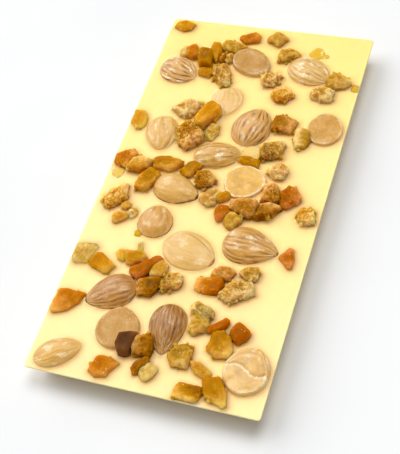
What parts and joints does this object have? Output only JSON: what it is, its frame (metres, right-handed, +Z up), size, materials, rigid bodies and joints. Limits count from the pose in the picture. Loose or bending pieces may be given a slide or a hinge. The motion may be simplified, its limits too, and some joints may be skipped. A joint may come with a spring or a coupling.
{
  "type": "white chocolate bar",
  "caption": "Rectangular bar of white chocolate with leaning moulded sides, its open face set with whole and split almonds and cut pieces of candied fruit.",
  "frame": {"origin": "middle of the flat underside, on the surface that the bar lies on", "axes": "+X across the bar to the picture's right, +Y along the bar away from the viewer, +Z up through the open face"},
  "size_m": [0.079, 0.155, 0.0125],
  "materials": {
    "chocolate": "satin white chocolate, pale butter yellow",
    "ridged": "roasted almond with lengthwise ridges, satin",
    "smooth": "smooth blanched almond, satin",
    "split": "flat inner face of a split almond, satin",
    "orange": "glossy candied orange peel",
    "gold": "glossy candied golden peel",
    "olive": "glossy candied fruit, olive gold",
    "sugared": "candied fruit with a crust of sugar crystals",
    "brown": "candied fruit, amber brown",
    "russet": "candied fruit, red brown",
    "dark": "dark candied fruit"
  },
  "bodies": {
    "root": {"almond_ridged_01": "ridged", "almond_ridged_04": "ridged", "almond_ridged_07": "ridged", "almond_ridged_09": "ridged", "almond_ridged_13": "ridged", "almond_ridged_14": "ridged", "almond_ridged_17": "ridged", "almond_smooth_03": "smooth", "almond_smooth_06": "smooth", "almond_smooth_08": "smooth", "almond_smooth_11": "smooth", "almond_smooth_12": "smooth", "almond_smooth_16": "smooth", "almond_split_02": "split", "almond_split_05": "split", "almond_split_10": "split", "almond_split_15": "split", "almond_split_18": "split", "chocolate_slab": "chocolate", "fruit_brown_02": "brown", "fruit_brown_12": "brown", "fruit_brown_17": "brown", "fruit_brown_19": "brown", "fruit_brown_27": "brown", "fruit_brown_29": "brown", "fruit_brown_30": "brown", "fruit_dark_34": "dark", "fruit_gold_09": "gold", "fruit_gold_11": "gold", "fruit_gold_15": "gold", "fruit_gold_16": "gold", "fruit_gold_18": "gold", "fruit_gold_38": "gold", "fruit_gold_40": "gold", "fruit_olive_01": "olive", "fruit_olive_04": "olive", "fruit_olive_06": "olive", "fruit_olive_20": "olive", "fruit_olive_37": "olive", "fruit_olive_39": "olive", "fruit_orange_08": "orange", "fruit_orange_13": "orange", "fruit_orange_24": "orange", "fruit_orange_26": "orange", "fruit_orange_32": "orange", "fruit_orange_35": "orange", "fruit_orange_36": "orange", "fruit_orange_41": "orange", "fruit_russet_14": "russet", "fruit_russet_22": "russet", "fruit_russet_23": "russet", "fruit_russet_25": "russet", "fruit_sugared_03": "sugared", "fruit_sugared_05": "sugared", "fruit_sugared_07": "sugared", "fruit_sugared_10": "sugared", "fruit_sugared_21": "sugared", "fruit_sugared_28": "sugared", "fruit_sugared_31": "sugared", "fruit_sugared_33": "sugared"}
  },
  "joints": []
}
